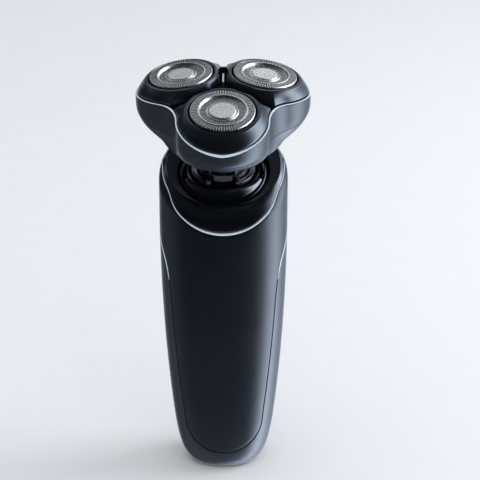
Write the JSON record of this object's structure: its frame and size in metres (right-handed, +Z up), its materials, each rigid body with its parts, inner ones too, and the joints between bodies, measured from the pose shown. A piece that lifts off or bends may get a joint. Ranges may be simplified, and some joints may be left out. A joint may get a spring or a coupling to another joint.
{
  "type": "electric shaver",
  "caption": "Cordless rotary shaver: tapered handle, gimballed neck and a trefoil head of tilting, floating rotary cutters under slotted guards.",
  "frame": {"origin": "centre of the handle's flat base, on the surface it stands on", "axes": "+Z up along the handle, -Y towards the front, which the head leans to; +X to the viewer's right"},
  "size_m": [0.0668, 0.0642, 0.1622],
  "materials": {
    "satin_black": "satin",
    "satin_navy": "satin",
    "gloss_black": "polished",
    "matt_black": "matt",
    "ice_blue": "anodised ice blue",
    "steel": "etched",
    "brass": "plated",
    "grey_polymer": "moulded",
    "white_polymer": "moulded",
    "dark_polymer": "moulded",
    "rubber": "moulded",
    "battery_sleeve": "heat-shrunk sleeve",
    "board": "coated"
  },
  "bodies": {
    "handle": {"rear_shell": "satin_black", "front_cover": "satin_navy", "collar": "gloss_black", "front_trim": "ice_blue", "side_trim_left": "ice_blue", "side_trim_right": "ice_blue", "neck_dish": "matt_black", "neck_bowl": "gloss_black", "neck_shroud": "gloss_black", "neck_seal": "rubber", "chassis": "grey_polymer", "battery": "battery_sleeve", "battery_contact_top": "brass", "battery_contact_bottom": "brass", "circuit_board": "board", "control_chip": "dark_polymer", "charge_coil": "dark_polymer", "switch_body": "dark_polymer", "charge_socket": "dark_polymer", "socket_pin_left": "brass", "socket_pin_right": "brass", "case_screw_lower": "steel", "case_screw_upper": "steel", "button_bezel": "ice_blue", "motor": "steel", "motor_bracket": "grey_polymer"},
    "button": {"power_button": "gloss_black"},
    "drive_shaft": {"motor_shaft": "brass"},
    "yoke": {"neck_yoke": "matt_black"},
    "mount": {"head_mount": "gloss_black"},
    "latch_l": {"latch_left": "gloss_black"},
    "latch_r": {"latch_right": "gloss_black"},
    "head": {"head_base": "satin_black", "head_shell": "satin_navy", "head_accent": "ice_blue", "gear_plate": "grey_polymer", "retaining_frame": "dark_polymer", "centre_pin": "ice_blue", "groove_bar": "steel"},
    "spindle": {"drive_spindle": "white_polymer"},
    "planet_1": {"planet_gear_1": "white_polymer"},
    "lobe_body_1": {"lobe_1": "gloss_black"},
    "guard_body_1": {"guard_1": "steel", "guard_cap_1": "steel"},
    "cutter_body_1": {"cutter_1": "steel"},
    "planet_2": {"planet_gear_2": "white_polymer"},
    "lobe_body_2": {"lobe_2": "gloss_black"},
    "guard_body_2": {"guard_2": "steel", "guard_cap_2": "steel"},
    "cutter_body_2": {"cutter_2": "steel"},
    "planet_3": {"planet_gear_3": "white_polymer"},
    "lobe_body_3": {"lobe_3": "gloss_black"},
    "guard_body_3": {"guard_3": "steel", "guard_cap_3": "steel"},
    "cutter_body_3": {"cutter_3": "steel"}
  },
  "joints": [
    {"name": "power_press", "type": "slide", "parent": "handle", "child": "button", "axis": [0, -1, 0], "range_m": [0, 0.0009], "stiffness_N_per_m": 900},
    {"name": "motor_spin", "type": "hinge", "parent": "handle", "child": "drive_shaft", "pos_m": [0, 0.00235, 0.10946], "axis": [0, -0.2419, 0.9703], "continuous": true},
    {"name": "neck_pitch", "type": "hinge", "parent": "handle", "child": "yoke", "pos_m": [0, 0.00042, 0.11722], "axis": [1, 0, 0], "range_deg": [-5, 5], "stiffness_Nm_per_rad": 1},
    {"name": "neck_roll", "type": "hinge", "parent": "yoke", "child": "mount", "pos_m": [0, 0.00042, 0.11722], "axis": [0, 0.9703, 0.2419], "range_deg": [-5, 5], "stiffness_Nm_per_rad": 1},
    {"name": "latch_left_push", "type": "slide", "parent": "mount", "child": "latch_l", "axis": [0, 0.9703, 0.2419], "range_m": [0, 0.0005], "stiffness_N_per_m": 500},
    {"name": "latch_right_push", "type": "slide", "parent": "mount", "child": "latch_r", "axis": [0, 0.9703, 0.2419], "range_m": [0, 0.0005], "stiffness_N_per_m": 500},
    {"name": "head_release", "type": "slide", "parent": "mount", "child": "head", "axis": [0, -0.2419, 0.9703], "range_m": [0, 0.022]},
    {"name": "spindle_spin", "type": "hinge", "parent": "head", "child": "spindle", "pos_m": [0, -0.00611, 0.14342], "axis": [0, -0.2419, 0.9703], "continuous": true},
    {"name": "planet_1_spin", "type": "hinge", "parent": "head", "child": "planet_1", "pos_m": [0, -0.0228, 0.13925], "axis": [0, -0.2419, 0.9703], "continuous": true},
    {"name": "lobe_1_tilt", "type": "hinge", "parent": "head", "child": "lobe_body_1", "pos_m": [0, -0.03905, 0.13984], "axis": [1, 0, 0], "range_deg": [-3, 0], "stiffness_Nm_per_rad": 0.35},
    {"name": "guard_1_float", "type": "slide", "parent": "lobe_body_1", "child": "guard_body_1", "axis": [0, 0.3746, -0.9272], "range_m": [0, 0.0006], "stiffness_N_per_m": 600},
    {"name": "cutter_1_spin", "type": "hinge", "parent": "guard_body_1", "child": "cutter_body_1", "pos_m": [0, -0.0266, 0.15069], "axis": [0, -0.3746, 0.9272], "continuous": true},
    {"name": "planet_2_spin", "type": "hinge", "parent": "head", "child": "planet_2", "pos_m": [0.0149, 0.00223, 0.1455], "axis": [0, -0.2419, 0.9703], "continuous": true},
    {"name": "lobe_2_tilt", "type": "hinge", "parent": "head", "child": "lobe_body_2", "pos_m": [0.02842, 0.00872, 0.15175], "axis": [-0.5, 0.8403, 0.2095], "range_deg": [-3, 0], "stiffness_Nm_per_rad": 0.35},
    {"name": "guard_2_float", "type": "slide", "parent": "lobe_body_2", "child": "guard_body_2", "axis": [-0.1205, 0.172, -0.9777], "range_m": [0, 0.0006], "stiffness_N_per_m": 600},
    {"name": "cutter_2_spin", "type": "hinge", "parent": "guard_body_2", "child": "cutter_body_2", "pos_m": [0.01569, -0.00023, 0.15727], "axis": [0.1205, -0.172, 0.9777], "continuous": true},
    {"name": "planet_3_spin", "type": "hinge", "parent": "head", "child": "planet_3", "pos_m": [-0.0149, 0.00223, 0.1455], "axis": [0, -0.2419, 0.9703], "continuous": true},
    {"name": "lobe_3_tilt", "type": "hinge", "parent": "head", "child": "lobe_body_3", "pos_m": [-0.02842, 0.00872, 0.15175], "axis": [-0.5, -0.8403, -0.2095], "range_deg": [-3, 0], "stiffness_Nm_per_rad": 0.35},
    {"name": "guard_3_float", "type": "slide", "parent": "lobe_body_3", "child": "guard_body_3", "axis": [0.1205, 0.172, -0.9777], "range_m": [0, 0.0006], "stiffness_N_per_m": 600},
    {"name": "cutter_3_spin", "type": "hinge", "parent": "guard_body_3", "child": "cutter_body_3", "pos_m": [-0.01569, -0.00023, 0.15727], "axis": [-0.1205, -0.172, 0.9777], "continuous": true}
  ],
  "couplings": [
    {"joint": "spindle_spin", "follows": "motor_spin", "ratio": 1},
    {"joint": "planet_1_spin", "follows": "motor_spin", "ratio": -0.6},
    {"joint": "cutter_1_spin", "follows": "motor_spin", "ratio": -0.6},
    {"joint": "planet_2_spin", "follows": "motor_spin", "ratio": -0.6},
    {"joint": "cutter_2_spin", "follows": "motor_spin", "ratio": -0.6},
    {"joint": "planet_3_spin", "follows": "motor_spin", "ratio": -0.6},
    {"joint": "cutter_3_spin", "follows": "motor_spin", "ratio": -0.6}
  ]
}
